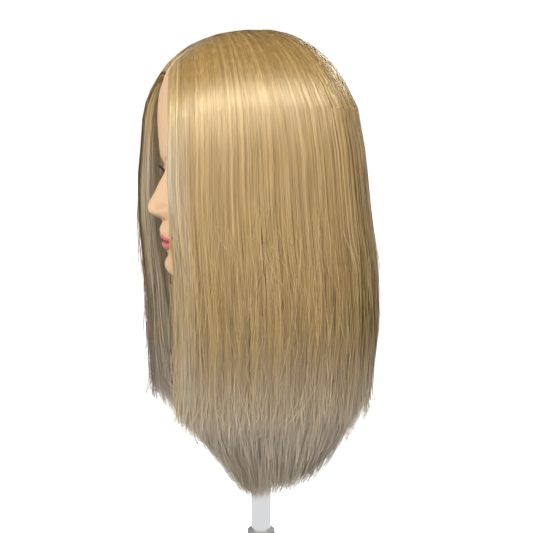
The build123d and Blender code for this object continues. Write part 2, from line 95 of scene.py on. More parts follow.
def makeStudio():
    scene = bpy.context.scene
    scene.view_settings.view_transform = "Standard"
    world = bpy.data.worlds.new("paleRoom")
    world.use_nodes = True
    scene.world = world
    tree = world.node_tree
    sky = tree.nodes["Background"]
    path = tree.nodes.new("ShaderNodeLightPath")
    level = tree.nodes.new("ShaderNodeMapRange")
    level.inputs["To Max"].default_value = 1.0  # the backdrop as seen
    tree.links.new(path.outputs["Is Camera Ray"], level.inputs["Value"])
    # the room that lights the object is brightest in a soft ring a little above the horizon
    place = tree.nodes.new("ShaderNodeTexCoord")
    parts = tree.nodes.new("ShaderNodeSeparateXYZ")
    ring = tree.nodes.new("ShaderNodeValToRGB")
    tree.links.new(place.outputs["Generated"], parts.inputs["Vector"])
    tree.links.new(parts.outputs["Z"], ring.inputs["Fac"])
    stops = ring.color_ramp.elements
    stops[0].color = (studio["roomLow"],) * 3 + (1,)
    stops[1].color = (studio["roomHigh"],) * 3 + (1,)
    for stop, zone in zip(studio["ringStops"], ("roomLow", "roomRing", "roomRing", "roomHigh")):
        stops.new(stop).color = (studio[zone],) * 3 + (1,)
    tree.links.new(ring.outputs["Color"], level.inputs["To Min"])
    tree.links.new(level.outputs["Result"], sky.inputs["Strength"])
    sky.inputs["Color"].default_value = (1, 1, 1, 1)
    softLamp("keyLamp", 56, 28, 1.9, 1.5, 0.7, 32, (1, 0.97, 0.92))
    softLamp("fillLamp", 116, 32, 2.0, 1.5, 0.6, 34, (1, 0.98, 0.95))
    softLamp("frontLamp", 2, 14, 2.2, 1.4, 1.0, 15, (1, 0.98, 0.95))
    softLamp("backLamp", 222, 30, 2.2, 1.6, 0.5, 22)
    floorMesh = bpy.data.meshes.new("floor")
    shape = bmesh.new()
    bmesh.ops.create_circle(shape, cap_ends=True, segments=96, radius=studio["floorRadius"])
    bmesh.ops.translate(shape, verts=shape.verts, vec=(0, 0, cadBounds[0].z - studio["floorDrop"]))
    shape.to_mesh(floorMesh)
    shape.free()
    floor = bpy.data.objects.new("floor", floorMesh)
    bpy.context.collection.objects.link(floor)
    paint = bpy.data.materials.new("paleFloor")
    paint.use_nodes = True
    surface = paint.node_tree.nodes["Principled BSDF"]
    surface.inputs["Base Color"].default_value = (0.9, 0.9, 0.9, 1)
    surface.inputs["Roughness"].default_value = 0.9
    surface.inputs["Emission Color"].default_value = (1, 1, 1, 1)
    place = paint.node_tree.nodes.new("ShaderNodeTexCoord")
    reach = paint.node_tree.nodes.new("ShaderNodeVectorMath")
    reach.operation = "LENGTH"
    glow = paint.node_tree.nodes.new("ShaderNodeMapRange")
    for key, value in (("From Min", 0.1), ("From Max", 0.75), ("To Min", 0.55), ("To Max", 1.0)):
        glow.inputs[key].default_value = value
    paint.node_tree.links.new(place.outputs["Object"], reach.inputs[0])
    paint.node_tree.links.new(reach.outputs["Value"], glow.inputs["Value"])
    paint.node_tree.links.new(glow.outputs["Result"], surface.inputs["Emission Strength"])
    floorMesh.materials.append(paint)
    floor.visible_diffuse = floor.visible_glossy = False  # the object is lit by the room and the lamps alone


makeCamera()
makeStudio()
print("studio ready")


# Smooth outlines: shapes are given at a few heights and run smoothly between them

def curveThrough(knots, values, at):  # passes through each value and never overshoots
    knots, values = np.asarray(knots, float), np.asarray(values, float)
    gaps = np.diff(knots)
    rises = np.diff(values) / gaps
    product, total = rises[:-1] * rises[1:], rises[:-1] + rises[1:]
    inner = np.where(product > 0, 2 * product / np.where(total == 0, 1, total), 0)
    slopes = np.concatenate(([rises[0]], inner, [rises[-1]]))
    at = np.clip(at, knots[0], knots[-1])
    i = np.clip(np.searchsorted(knots, at, "right") - 1, 0, len(gaps) - 1)
    s, gap = (at - knots[i]) / gaps[i], gaps[i]
    return ((1 + 2 * s) * (1 - s) ** 2 * values[i] + s * (1 - s) ** 2 * gap * slopes[i]
            + s * s * (3 - 2 * s) * values[i + 1] + s * s * (s - 1) * gap * slopes[i + 1])


def outlinePoint(levels, turn, height, squareness):  # turn 0 is the front and pi the back
    knots = [level[0] for level in levels]
    front, back, half = (curveThrough(knots, [level[k] for level in levels], height) for k in (1, 2, 3))
    across, along = np.sin(turn), np.cos(turn)
    x = np.sign(across) * np.abs(across) ** (2 / squareness) * half
    y = (front + back) / 2 - np.sign(along) * np.abs(along) ** (2 / squareness) * (back - front) / 2
    return x, y


def bump(a, centre, width):
    return np.exp(-(((a - centre) / width) ** 2))


def ramp(a, low, high):
    s = np.clip((a - low) / (high - low), 0, 1)
    return s * s * (3 - 2 * s)


# Head: one moulded vinyl shell

head = {
    # height, front, back, half width
    "levels": [
        (253, -57, 66, 61), (258, -53, 63, 58), (266, -49.5, 60.5, 55.5), (284, -46, 58, 52),
        (312, -45, 58, 51), (326, -50, 59, 52), (336, -66, 61, 54), (343, -84, 63, 57), (350, -93, 65, 59),
        (360, -95, 68, 61.5), (376, -96, 73, 65), (394, -97.5, 78, 68), (418, -96, 83, 70),
        (445, -95.5, 86, 71.5), (472, -100.5, 87, 72.5), (500, -102, 86, 73), (520, -100.5, 82, 70.5),
        (538, -95, 70, 65), (554, -84, 57, 56), (567, -66, 42, 44), (577, -42, 26, 28), (582, -12, 8, 8),
    ],
    # height and how much the front is narrowed there
    "taper": [(253, 0), (330, 0.05), (345, 0.4), (360, 0.38), (394, 0.23), (445, 0.12), (500, 0.06), (582, 0)],
    "squareness": 2.2, "columns": 264,
    # height and the step between the shell's rows there
    "rows": [(253, 3), (322, 0.9), (352, 0.8), (366, 0.62), (456, 0.9), (470, 2.4), (582, 2.4)],
    "eyeAcross": 30.5, "eyeHeight": 443.5, "eyeHalf": 14.5, "eyeFront": -92.4, "eyeRadius": 15,
    "lidUp": 4.9, "lidDown": 3.9, "lidThickness": 1.5,
    "mouthHeight": 380.6, "mouthHalf": 23,
    "wall": 3.5, "ridge": 1.8, "ridgeWidth": 2.2,
    # how far a feature stands out, then its place and spread across and in height
    "features": [
        # sockets, brow, temples, cheeks
        (-5.2, 29, 14, 445.5, 9.5), (-3.2, 14, 5.5, 445.5, 9), (1.6, 26, 17, 462.5, 6), (-1.5, 0, 9, 453, 8),
        (2.6, 36, 15, 414, 14), (1.5, 48, 12, 430, 12), (-1.6, 44, 12, 388, 14),
        # wings of the nose and nostrils
        (6.2, 12.6, 4.6, 409.5, 5.4), (-2.2, 18.6, 2.4, 411, 5.5), (-7, 6.6, 2.7, 403.4, 1.9),
        # mouth, philtrum, chin
        (3.8, 0, 18, 389, 8.5), (-1.1, 0, 2.3, 393, 4.6), (0.7, 4.8, 1.9, 392.5, 4.4),
        (-1.6, 25, 3, 380.5, 3.2), (-2.3, 0, 17, 366, 4.2), (2.4, 0, 13, 356, 7.5),
    ],
}


def eyeEdges(ax):  # how far a point is along the eye opening, and the heights of the two lid edges there
    along = (ax - head["eyeAcross"]) / head["eyeHalf"]
    tilt = 0.07 * (ax - head["eyeAcross"])
    arch = np.clip(1 - np.abs(along) ** 2.2, 0, 1)
    upper = head["eyeHeight"] + tilt + head["lidUp"] * arch ** 0.62
    lower = head["eyeHeight"] + tilt - head["lidDown"] * arch ** 0.75
    return along, upper, lower


def lipEdges(ax):
    along = np.clip(ax / head["mouthHalf"], 0, 1)
    line = head["mouthHeight"] - 0.8 * bump(ax, 9, 6) + 0.4 * along**2
    upper = line + (7.2 - 1.6 * bump(ax, 0, 2.6) + 0.9 * bump(ax, 5, 3)) * (1 - along**1.7) ** 0.9
    lower = line - 8.8 * (1 - along**2.2) ** 0.85
    return along, line, upper, lower


def faceRelief(x, z):  # how far the front of the face stands out from the plain head
    ax = np.abs(x)
    out = np.zeros_like(x)
    for size, across, wide, height, tall in head["features"]:
        out += size * bump(ax, across, wide) * bump(z, height, tall)
    # bridge and tip of the nose
    ridge = curveThrough([399, 402, 405, 409, 414, 419, 427, 437, 446, 453, 459],
                         [0, 3.2, 9.4, 15.4, 17.3, 15.8, 11.4, 6.8, 2.4, 0.4, 0], z)
    width = curveThrough([399, 405, 412, 421, 432, 443, 457], [10, 11.5, 11.5, 8.8, 7.2, 6.6, 8], z)
    out += ridge * np.exp(-np.abs(ax / width) ** 2.3)
    # lips and the fold beside the mouth
    along, line, upper, lower = lipEdges(ax)
    inMouth = np.clip(1 - along**3, 0, 1)
    up = np.clip((z - line) / np.maximum(upper - line, 0.1), 0, 1)
    down = np.clip((line - z) / np.maximum(line - lower, 0.1), 0, 1)
    out += 1.3 * np.sin(np.pi * up) ** 0.75 * inMouth
    out += 3.4 * np.sin(np.pi * down) ** 0.75 * inMouth
    out -= 2.6 * bump(z, line, 1.0) * np.clip(1 - (ax / 25) ** 4, 0, 1)
    out -= 0.9 * bump(ax - 18 - (402 - z) * 0.5, 0, 2.6) * ramp(z, 380, 388) * ramp(z, 408, 400)
    return out


def plainHead(turn, z):  # the head's outline without features, narrowed towards the front
    x, y = outlinePoint(head["levels"], turn, z, head["squareness"])
    taper = np.interp(z, *zip(*head["taper"]))
    return x * (1 - taper * ((1 + np.cos(turn)) / 2) ** 2), y


def shapeHead(turn, z):
    x, y = plainHead(turn, z)
    ax = np.abs(x)
    facing = ramp(np.cos(turn), 0.02, 0.42)
    y = y - faceRelief(x, z) * facing
    # eyelids wrap an eyeball, and the eye shows between their edges
    along, upper, lower = eyeEdges(ax)
    centreY = head["eyeFront"] + head["eyeRadius"]
    reach = np.hypot(ax - head["eyeAcross"], z - head["eyeHeight"])
    ball = centreY - np.sqrt(np.clip(head["eyeRadius"] ** 2 - reach**2, 0, None))
    onBall = ramp(reach, 14.6, 9.5) * facing
    lid = ball - head["lidThickness"] - 0.7 * bump(z, upper + 1.2, 1.6)
    lidded = np.minimum(y, lid * onBall + y * (1 - onBall))
    lidded += 1.1 * bump(z, upper + 4.6, 0.9) * ramp(np.abs(along), 1.05, 0.7) * facing
    inside = ramp(np.minimum(upper - z, z - lower), -0.35, 0.5) * (np.abs(along) < 1) * facing
    seen = np.minimum(ball, y + 3)
    y = np.where(inside > 0, lidded * (1 - inside) + seen * inside, lidded)
    # ears lie flat under the hair
    earY, earZ = y - 8, z - 428
    rise = ramp(np.hypot(earY / 15, earZ / 29), 1.05, 0.75) * ramp(ax, 45, 60)
    rim = bump(np.hypot(earY / 15, earZ / 29), 0.8, 0.12) * ramp(ax, 45, 60)
    x = x + np.sign(x) * (2.6 * rise + 2.2 * rim - 2.2 * bump(earY, -4, 5) * bump(earZ, -4, 8) * rise)
    # the scalp stands a little proud along the parting
    ridge = head["ridge"] * bump(x, 0, head["ridgeWidth"]) * ramp(z, 524, 545) * ramp(y, 40, 0)
    upward = np.hypot(y + 8, z - 470)
    return x, y + ridge * (y + 8) / upward, z + ridge * (z - 470) / upward


def newPiece(name, shape, material, smooth=True):
    mesh = bpy.data.meshes.new(name)
    shape.to_mesh(mesh)
    shape.free()
    mesh.materials.append(material)
    mesh.polygons.foreach_set("use_smooth", [smooth] * len(mesh.polygons))
    piece = bpy.data.objects.new(name, mesh)
    bpy.context.collection.objects.link(piece)
    return piece


def newGrid(across, up):  # a grid, and each vertex's column and row as numbers from 0 to 1
    shape = bmesh.new()
    bmesh.ops.create_grid(shape, x_segments=across, y_segments=up, size=1)
    places = np.array([v.co[:2] for v in shape.verts])
    low, high = places.min(axis=0), places.max(axis=0)
    return shape, *((places - low) / (high - low)).T


def moveVerts(shape, x, y, z):
    for vert, place in zip(shape.verts, np.stack([x, y, z], axis=1) * mm):
        vert.co = place


def closeCrown(shape):  # join the seam, fill the hole at the top and give the edges of the one at the bottom
    bmesh.ops.remove_doubles(shape, verts=shape.verts, dist=0.02 * mm)
    edges = [e for e in shape.edges if e.is_boundary]
    bmesh.ops.edgeloop_fill(shape, edges=[e for e in edges if e.verts[0].co.z > 0.5])
    return [e for e in edges if e.verts[0].co.z < 0.3]


def extrudeRim(shape, rim):  # the new edges and vertices, which are still where the old ones are
    made = bmesh.ops.extrude_edge_only(shape, edges=rim)["geom"]
    return [[g for g in made if isinstance(g, kind)] for kind in (bmesh.types.BMEdge, bmesh.types.BMVert)]


def headRows():
    heights = []
    for (start, step), (end, nextStep) in zip(head["rows"], head["rows"][1:]):
        z = start
        while z < end - step * 0.5:
            heights.append(z)
            z += step + (nextStep - step) * (z - start) / (end - start)
    heights.append(head["rows"][-1][0])
    return np.array(heights)


def makeHead(material):
    heights = headRows()
    shape, column, row = newGrid(head["columns"], len(heights) - 1)
    s = (column * 2 - 1) * np.pi
    turn = s - 0.5 * np.sin(s)  # closer together over the face
    z = heights[np.rint(row * (len(heights) - 1)).astype(int)]
    moveVerts(shape, *shapeHead(turn, z))
    rim = closeCrown(shape)
    for inward, upward in ((head["wall"], 0), (0, 6)):  # the neck's rim gets its wall
        rim, made = extrudeRim(shape, rim)
        for vert in made:
            middle = Vector((0, 0.0045, vert.co.z))
            vert.co += (middle - vert.co).normalized() * inward * mm + Vector((0, 0, upward * mm))
    bmesh.ops.recalc_face_normals(shape, faces=shape.faces)
    piece = newPiece("headShell", shape, material)
    paintHead(piece)
    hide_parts("head_skin")
    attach(piece, "head")


def meshPlaces(mesh):
    places = np.empty(len(mesh.vertices) * 3)
    mesh.vertices.foreach_get("co", places)
    return places.reshape(-1, 3)


def addNumber(mesh, name, values):  # one number for each vertex, which a material reads by its name
    layer = mesh.attributes.new(name, "FLOAT", "POINT")
    layer.data.foreach_set("value", np.asarray(values, np.float32))


def paintHead(piece):  # where the lips, blush, brows and lids are painted
    x, y, z = meshPlaces(piece.data).T / mm
    ax, front = np.abs(x), y < -60
    line, upper, lower = lipEdges(ax)[1:]
    lips = ramp(z, lower - 0.4, lower + 0.5) * ramp(z, upper + 0.4, upper - 0.5)
    lips = lips * (ax < head["mouthHalf"]) * front
    addNumber(piece.data, "lips", lips)
    # painted shade: a dark line along the crease between the lips
    addNumber(piece.data, "lipGapShade", bump(z, line, 0.9) * lips)
    blush = bump(ax, 42, 15) * bump(z, 410, 13) * front
    addNumber(piece.data, "blush", blush)
    across = (ax - 12) / 36
    browLine = 460 + 4.2 * np.sin(np.clip(across, 0, 1) * 2.3) - 2.5 * np.clip(across - 0.55, 0, 1)
    thick = 3.3 * np.clip(1.25 - across, 0.2, 1) * ramp(across, -0.02, 0.12) * ramp(across, 1.02, 0.8)
    brows = ramp(np.abs(z - browLine), thick + 0.5, thick * 0.45) * (across > -0.02) * (across < 1.02) * front
    addNumber(piece.data, "brows", brows)
    eyeAlong, up, low = eyeEdges(ax)
    lash = (bump(z, up + 0.3, 1.15) + 0.4 * bump(z, low - 0.3, 0.8)) * (np.abs(eyeAlong) < 1.04) * front
    addNumber(piece.data, "lidLine", np.clip(lash, 0, 1))
    shadow = ramp(z, up + 7.5, up + 1) * ramp(z, up - 1, up) * ramp(np.abs(eyeAlong), 1.15, 0.7) * front
    addNumber(piece.data, "lidShade", shadow)
    inside = ramp(np.minimum(up - z, z - low), -0.2, 0.5) * (np.abs(eyeAlong) < 1) * front
    addNumber(piece.data, "eye", inside)
    # painted shade: the nostril hollows are darkened where shade falls in them
    addNumber(piece.data, "nostrilShade", bump(ax, 6.6, 2.6) * bump(z, 403.6, 1.8) * front)


# Foam core: fills the shell, round a pocket for the socket tube

core = {
    "bottom": 260.3, "top": 570, "inset": 7.5, "faceInset": 7, "columns": 96, "rows": 64,
    "pocketRadius": 15.1, "pocketTop": 333.2,
}


def makeCore(material):
    shape, column, row = newGrid(core["columns"], core["rows"])
    turn = (column * 2 - 1) * np.pi
    z = core["bottom"] + (core["top"] - core["bottom"]) * row
    x, y = plainHead(turn, z)
    shrink = np.clip(1 - core["inset"] / np.hypot(x, y), 0.1, 1)
    y = y * shrink + core["faceInset"] * ramp(np.cos(turn), 0.1, 0.6) * ramp(z, 335, 352)
    moveVerts(shape, x * shrink, y, z)
    rim = closeCrown(shape)
    for height in (core["bottom"], core["pocketTop"]):
        rim, made = extrudeRim(shape, rim)
        for vert in made:
            flat = Vector((vert.co.x, vert.co.y, 0)).normalized() * core["pocketRadius"] * mm
            vert.co = (flat.x, flat.y, height * mm)
    bmesh.ops.edgeloop_fill(shape, edges=rim)
    bmesh.ops.recalc_face_normals(shape, faces=shape.faces)
    piece = newPiece("foamCore", shape, material, smooth=False)
    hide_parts("foam_core")
    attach(piece, "head")


# Materials

def newMaterial(name):
    material = bpy.data.materials.new(name)
    material.use_nodes = True
    return material, material.node_tree, material.node_tree.nodes["Principled BSDF"]


def addNode(tree, kind, **settings):
    node = tree.nodes.new("ShaderNode" + kind)
    for key, value in settings.items():
        setattr(node, key, value)
    return node


def setInputs(node, **values):
    for key, value in values.items():
        node.inputs[key.replace("_", " ")].default_value = value
    return node


def feed(tree, socket, value):
    if isinstance(value, bpy.types.NodeSocket):
        tree.links.new(value, socket)
    else:
        socket.default_value = value


def mixColours(tree, factor, first, second):
    mix = addNode(tree, "Mix", data_type="RGBA")
    for socket, value in ((mix.inputs[0], factor), (mix.inputs[6], first), (mix.inputs[7], second)):
        feed(tree, socket, (*value, 1) if isinstance(value, tuple) else value)
    return mix.outputs[2]


def compute(tree, operation, *values):
    node = addNode(tree, "Math", operation=operation)
    for socket, value in zip(node.inputs, values):
        feed(tree, socket, value)
    return node.outputs[0]


def readNumber(tree, name):
    return addNode(tree, "Attribute", attribute_name=name).outputs["Fac"]


def noiseOf(tree, scale, detail=4, stretch=(1, 1, 1)):
    place = addNode(tree, "TexCoord")
    turn = addNode(tree, "Mapping")
    turn.inputs["Scale"].default_value = stretch
    tree.links.new(place.outputs["Object"], turn.inputs["Vector"])
    grain = setInputs(addNode(tree, "TexNoise"), Scale=scale, Detail=detail)
    tree.links.new(turn.outputs["Vector"], grain.inputs["Vector"])
    return grain.outputs["Fac"]


def addBump(tree, shader, height, strength, distance=0.001):
    relief = setInputs(addNode(tree, "Bump"), Strength=strength, Distance=distance)
    tree.links.new(height, relief.inputs["Height"])
    tree.links.new(relief.outputs["Normal"], shader.inputs["Normal"])


skinPaint = {
    "skin": (0.55, 0.36, 0.205), "skinDeep": (0.50, 0.30, 0.155), "blush": (0.80, 0.30, 0.22),
    "lips": (0.47, 0.10, 0.095), "lipGapShade": (0.20, 0.02, 0.025), "nostrilShade": (0.26, 0.09, 0.06),
    "brow": (0.20, 0.125, 0.07), "lash": (0.03, 0.02, 0.018), "lidShade": (0.50, 0.29, 0.20),
    "white": (0.70, 0.68, 0.66), "iris": (0.075, 0.10, 0.135), "irisLight": (0.17, 0.21, 0.25),
    "irisEdge": (0.02, 0.025, 0.035), "pupil": (0.005, 0.005, 0.006), "irisRadius": 5.9, "pupilRadius": 2.5,
}


def makeSkin():
    material, tree, shader = newMaterial("paintedVinyl")
    paint = skinPaint
    mottled = mixColours(tree, noiseOf(tree, 14, 3), paint["skin"], paint["skinDeep"])
    colour = mixColours(tree, 0.45, paint["skin"], mottled)

    def coat(colour, name, strength):
        amount = compute(tree, "MULTIPLY", readNumber(tree, name), strength)
        return mixColours(tree, amount, colour, paint[name])

    colour = coat(colour, "blush", 0.55)
    colour = coat(colour, "lidShade", 0.45)
    strokes = compute(tree, "MULTIPLY_ADD", noiseOf(tree, 420, 2, (1.0, 0.4, 0.35)), 1.5, 0.05)
    browMask = compute(tree, "MULTIPLY", readNumber(tree, "brows"), strokes)
    colour = mixColours(tree, compute(tree, "MINIMUM", browMask, 0.85), colour, paint["brow"])
    colour = coat(colour, "lips", 1)
    # painted shade along the crease between the lips
    colour = coat(colour, "lipGapShade", 0.9)
    # painted shade darkens the nostril hollows
    colour = coat(colour, "nostrilShade", 0.9)
    # eyes: rings round each iris centre, in the head's own coordinates
    place = addNode(tree, "TexCoord")
    parts = addNode(tree, "SeparateXYZ")
    tree.links.new(place.outputs["Object"], parts.inputs["Vector"])
    across = compute(tree, "SUBTRACT", compute(tree, "ABSOLUTE", parts.outputs["X"]), head["eyeAcross"] * mm)
    up = compute(tree, "SUBTRACT", parts.outputs["Z"], (head["eyeHeight"] + 0.6) * mm)
    far = compute(tree, "SQRT", compute(tree, "ADD", compute(tree, "MULTIPLY", across, across),
                                        compute(tree, "MULTIPLY", up, up)))

    def disc(radius, soft):
        level = addNode(tree, "MapRange", interpolation_type="SMOOTHSTEP")
        tree.links.new(far, level.inputs["Value"])
        setInputs(level, From_Min=(radius + soft) * mm, From_Max=(radius - soft) * mm)
        return level.outputs["Result"]

    fibres = noiseOf(tree, 900, 2)
    irisColour = mixColours(tree, fibres, paint["iris"], paint["irisLight"])
    irisColour = mixColours(tree, disc(paint["irisRadius"] * 0.8, 0.9), paint["irisEdge"], irisColour)
    eyeColour = mixColours(tree, disc(paint["irisRadius"], 0.35), paint["white"], irisColour)
    eyeColour = mixColours(tree, disc(paint["pupilRadius"], 0.3), eyeColour, paint["pupil"])
    colour = mixColours(tree, readNumber(tree, "eye"), colour, eyeColour)
    colour = mixColours(tree, readNumber(tree, "lidLine"), colour, paint["lash"])
    tree.links.new(colour, shader.inputs["Base Color"])
    lipShine = compute(tree, "MULTIPLY", readNumber(tree, "lips"), 0.5)
    wet = compute(tree, "MAXIMUM", readNumber(tree, "eye"), lipShine)
    gloss = addNode(tree, "MapRange")
    tree.links.new(wet, gloss.inputs["Value"])
    setInputs(gloss, To_Min=0.46, To_Max=0.08)
    tree.links.new(gloss.outputs["Result"], shader.inputs["Roughness"])
    setInputs(shader, Subsurface_Weight=0.12, Subsurface_Scale=0.004)
    shader.inputs["Subsurface Radius"].default_value = (1.0, 0.45, 0.25)
    addBump(tree, shader, noiseOf(tree, 1400, 3), 0.06, 0.0004)
    return material


makeHead(makeSkin())
print("head ready")


# Hair: long straight strands from a centre parting, in panels that hang round the head

hair = {
    # height, front, back, half width of the outer surface
    "outer": [
        (119, -19, 32, 20), (136, -33, 58, 34), (158, -46, 71, 45), (182, -72, 84, 59), (206, -97, 95, 72),
        (230, -111, 104, 81), (262, -115, 112, 85), (302, -117, 116, 86), (350, -119, 115, 86),
        (398, -121, 109, 85), (446, -121, 104, 84), (470, -119, 101, 83),
    ],
    # and of the hollow round the head, neck and post
    "inner": [
        (119, -12, 16, 12.5), (136, -14, 24, 14.5), (158, -28, 40, 27), (182, -56, 55, 44), (206, -80, 74, 58),
        (230, -94, 88, 67), (262, -99, 99, 73), (302, -102, 104, 76), (350, -106, 104, 77),
        (398, -109, 100, 77), (446, -110, 95, 77), (470, -110, 92, 76),
    ],
    # the crown, and how closely the strands follow the outline below holdHeight
    "squareness": 2.6, "rimHeight": 470, "domeHeight": 118, "domeThickness": 5, "domeFlatness": 2.17,
    "domeRoundness": 2.2, "holdHeight": 262, "follow": 0.5,
    # the parting and the roots beside it
    "partFront": -97, "partBack": -6, "crownBack": 24, "crownLean": 6, "rootRise": 15,
    "domeShares": (0, 0.05, 0.14, 0.28, 0.44, 0.6, 0.75, 0.87, 0.955), "dropPoints": 8,
    # the opening at the face, and how far each side's edge swings forward: height and distance
    "curtainHalf": 54, "edgeReach": 0.42,
    "flare": {
        1: [(185, 0), (240, -3.5), (370, -4.5), (430, -1.5), (470, 0)],
        -1: [(165, 0), (212, 6), (318, 6.5), (380, 9), (400, 10), (440, 9.5), (480, 7.5), (505, 7), (520, 5),
             (540, 0)],
    },
    "strandWidth": 0.5, "strandsPerPanel": 4950, "locksPerPanel": 120, "cardWidth": 6.5, "cardsPerPanel": 150,
    "innerStrands": 4200, "edgeStrands": 1000, "endStrands": 2300, "endWidth": 0.6,
}


def spreadTurns(levels, height, squareness):  # a table of turn, plan angle and distance round the outline
    turn = np.linspace(0, np.pi, 721)
    x, y = outlinePoint(levels, turn, np.full_like(turn, height), squareness)
    angle = np.degrees(np.arctan2(x, -y))
    distance = np.concatenate(([0], np.cumsum(np.hypot(np.diff(x), np.diff(y)))))
    return turn, x, angle, distance


turnTable, rimX, rimAngle, rimDistance = spreadTurns(hair["outer"], hair["rimHeight"], hair["squareness"])
curtainTurn = np.interp(hair["curtainHalf"], rimX[:300], turnTable[:300])


def scalpHeight(y):  # height of the head's surface along its middle line
    levels = [level for level in head["levels"] if level[0] >= 500]
    return np.interp(y, [level[1] for level in levels], [level[0] for level in levels])


def planNorm(x, y, front, back, half, squareness):
    return (np.abs(x / half) ** squareness
            + np.abs((y - (front + back) / 2) / ((back - front) / 2)) ** squareness) ** (1 / squareness)


def sizeAt(levels, height):  # front, back and half width at a height
    knots = [level[0] for level in levels]
    return [curveThrough(knots, [level[k] for level in levels], height) for k in (1, 2, 3)]


def hangPlace(turn, depth, height):  # where a strand of that depth hangs below the rim
    held = height + (1 - hair["follow"]) * np.clip(hair["holdHeight"] - height, 0, None)
    outerX, outerY = outlinePoint(hair["outer"], turn, held, hair["squareness"])
    innerX, innerY = outlinePoint(hair["inner"], turn, height, hair["squareness"])
    return outerX + (innerX - outerX) * depth, outerY + (innerY - outerY) * depth


def tipHeights(turn, depth, loose):  # a strand ends where it would leave the brush shape of the ends
    heights = np.linspace(hair["holdHeight"], hair["outer"][0][0], 46)
    tips = np.full(len(turn), heights[-1])
    for height in heights[::-1]:
        level = np.full(len(turn), height)
        x, y = hangPlace(turn, depth, level)
        outside = planNorm(x, y, *sizeAt(hair["outer"], level), hair["squareness"]) > loose
        tips = np.where(outside, height, tips)
    return tips


def combDome(spread, turn, depth):  # over the crown: from the parting outwards to the rim
    number, rimHeight = len(turn), hair["rimHeight"]
    rimPlaceX, rimPlaceY = hangPlace(turn, depth, np.full(number, float(rimHeight)))
    share = np.clip((rimPlaceY + 112) / 150, 0, 1)
    rootY = hair["partFront"] + (hair["partBack"] - hair["partFront"]) * share ** 0.8
    behind = ramp(rimPlaceY, 30, 95)
    rootY = rootY + behind * spread.uniform(0, hair["crownBack"] - hair["partBack"], number)
    rootY = rootY + spread.normal(0, 2.2, number)
    rootX = spread.uniform(0.9, 2.4, number) * (1 + 2.5 * behind * spread.uniform(0, 1, number))
    rootZ = scalpHeight(np.minimum(rootY, -15)) + 0.3
    front, back, half = sizeAt(hair["outer"], np.full(number, float(rimHeight)))
    shrink = 1 - 0.11 * depth
    centre, deep = (front + back) / 2, (back - front) / 2 * shrink
    rimNorm = planNorm(rimPlaceX, rimPlaceY, centre - deep, centre + deep, half * shrink, hair["squareness"])
    rows = []
    for f in hair["domeShares"]:
        x = rootX + (rimPlaceX - rootX) * f
        y = rootY + (rimPlaceY - rootY) * f ** 1.25
        norm = planNorm(x, y, centre - deep, centre + deep, half * shrink, hair["squareness"]) / rimNorm
        rise = np.clip(1 - norm ** hair["domeFlatness"], 0, 1) ** (1 / hair["domeRoundness"])
        z = rimHeight + (hair["domeHeight"] - hair["domeThickness"] * depth) * rise
        if f == 0:
            lift = z - rootZ
        z = z - lift * np.exp(-np.hypot(x - rootX, y - rootY) / hair["rootRise"])
        rows.append(np.stack([x, y - hair["crownLean"] * ramp(z, 480, 540) * ramp(y, -60, 20), z], axis=1))
    return rows


def combDrop(spread, turn, depth, lock, tips, startHeight, wander, points):  # from the rim down to the ends
    number, lockCount = len(turn), int(lock.max()) + 1
    lockPhase, lockLean = spread.uniform(0, 2 * np.pi, (lockCount, 3)), spread.normal(0, 1, (lockCount, 2))
    ownPhase, ownLean = spread.uniform(0, 2 * np.pi, (number, 3)), spread.normal(0, 1, (number, 2))
    lockTurn = np.zeros(lockCount)
    np.add.at(lockTurn, lock, turn)
    lockTurn /= np.maximum(np.bincount(lock, minlength=lockCount), 1)
    rows = []
    for k in range(points):
        z = startHeight + (tips - startHeight) * k / (points - 1)
        fall = ramp(z, hair["rimHeight"], 120)
        gather = 1 - 0.3 * fall
        x, y = hangPlace(lockTurn[lock] + (turn - lockTurn[lock]) * gather, depth, z)
        sway = wander * (0.5 + 6 * fall**1.7)
        along = (0.8 * np.sin(lockPhase[lock, 0] + z / 75) + 0.4 * np.sin(lockPhase[lock, 1] + z / 34)
                 + 0.45 * np.sin(ownPhase[:, 0] + z / 27) + 0.5 * lockLean[lock, 0]
                 + 0.55 * ownLean[:, 0] * fall)
        outward = 0.5 * (np.sin(lockPhase[lock, 2] + z / 60) + 0.5 * np.sin(ownPhase[:, 1] + z / 24)
                         + 0.4 * lockLean[lock, 1] + 0.5 * ownLean[:, 1] * fall)
        radius = np.hypot(x, y + 5)
        outX, outY = x / radius, (y + 5) / radius
        x = x + sway * (outX * outward - outY * along * 0.6)
        y = y + sway * (outY * outward + outX * along * 0.6)
        rows.append(np.stack([x, y, z], axis=1))
    return rows


def unit(ways):
    return ways / (np.linalg.norm(ways, axis=2, keepdims=True) + 1e-9)


def hairFacing(path):  # which way the hair's surface faces at each point
    half, deep = 83, 110
    x, y = path[:, :, 0] / half, (path[:, :, 1] + 9) / deep
    z = np.clip(path[:, :, 2] - hair["rimHeight"], 0, None) / hair["domeHeight"]
    way = np.stack([np.sign(x) * np.abs(x) ** 1.6 / half, np.sign(y) * np.abs(y) ** 1.6 / deep,
                    z**1.6 / hair["domeHeight"]], axis=2)
    return unit(way)


def strandMesh(name, columns, material):  # columns holds strand, column, point and xyz
    number, wide, points = columns.shape[:3]
    across = number * wide
    shape = bmesh.new()
    bmesh.ops.create_grid(shape, x_segments=across - 1, y_segments=points - 1, size=1)
    # each strand stays as one strip, so the faces between strands go
    between = [face for face in shape.faces if face.index % (across - 1) % wide == wide - 1]
    bmesh.ops.delete(shape, geom=between, context="FACES")
    piece = newPiece(name, shape, material)
    piece.data.vertices.foreach_set("co", (columns.transpose(2, 0, 1, 3).reshape(-1, 3) * mm).ravel())
    return piece


